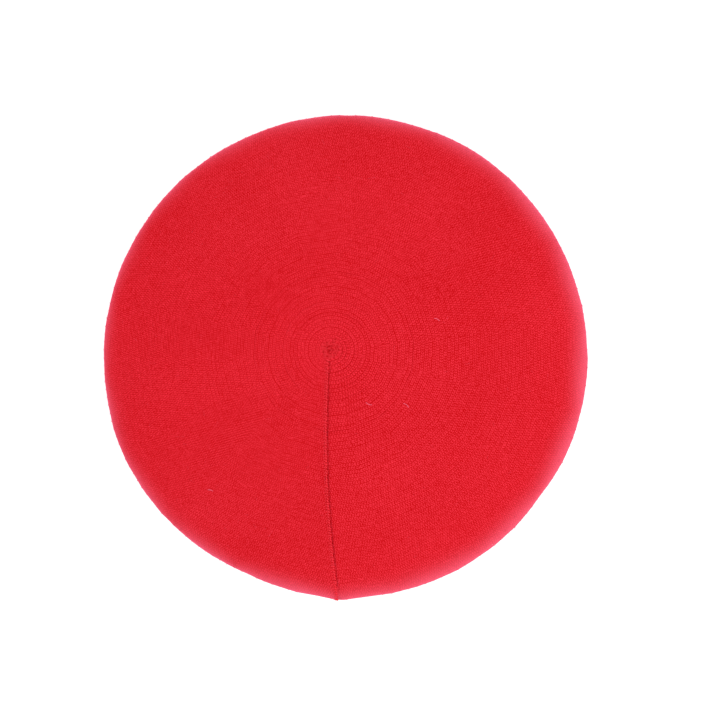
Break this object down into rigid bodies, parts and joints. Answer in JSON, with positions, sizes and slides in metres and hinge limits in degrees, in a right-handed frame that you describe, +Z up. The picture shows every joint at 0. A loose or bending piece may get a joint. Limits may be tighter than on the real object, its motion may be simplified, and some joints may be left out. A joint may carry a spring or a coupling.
{
  "type": "beret",
  "caption": "Knitted beret: wide round crown closed by one radial seam, on a doubled rib headband with an elastic inside, with a blank label hanging in the back of the band.",
  "frame": {"origin": "centre of the headband's lower fold, on the surface the beret rests on", "axes": "+Z up through the crown, +Y to the front of the hat, the radial seam at the back along -Y, +X to the wearer's right"},
  "size_m": [0.29, 0.2918, 0.0648],
  "materials": {
    "crown_knit": "fine knitted wool, softly felted",
    "rib_knit": "one by one rib knit",
    "red_thread": "matte yarn",
    "seam_yarn": "matte yarn",
    "woven_elastic": "woven elastic",
    "label_cloth": "woven satin tape"
  },
  "bodies": {
    "headband": {"headband": "rib_knit", "headband_elastic": "woven_elastic", "linking_chain": "red_thread", "band_joint_seam": "red_thread", "label_stitch_left": "red_thread", "label_stitch_right": "red_thread"},
    "crown": {"crown_top": "crown_knit", "crown_underside": "crown_knit", "centre_closing_ring": "red_thread", "centre_knot": "red_thread", "radial_seam_chain": "seam_yarn", "seam_bartack": "red_thread"},
    "label": {"care_label": "label_cloth"}
  },
  "joints": [
    {"name": "crown_tilt", "type": "hinge", "parent": "headband", "child": "crown", "pos_m": [0, 0, 0.02], "axis": [0, 1, 0], "range_deg": [-10, 10]},
    {"name": "label_flap", "type": "hinge", "parent": "headband", "child": "label", "pos_m": [0, -0.0815, 0.02], "axis": [1, 0, 0], "range_deg": [0, 110]}
  ]
}
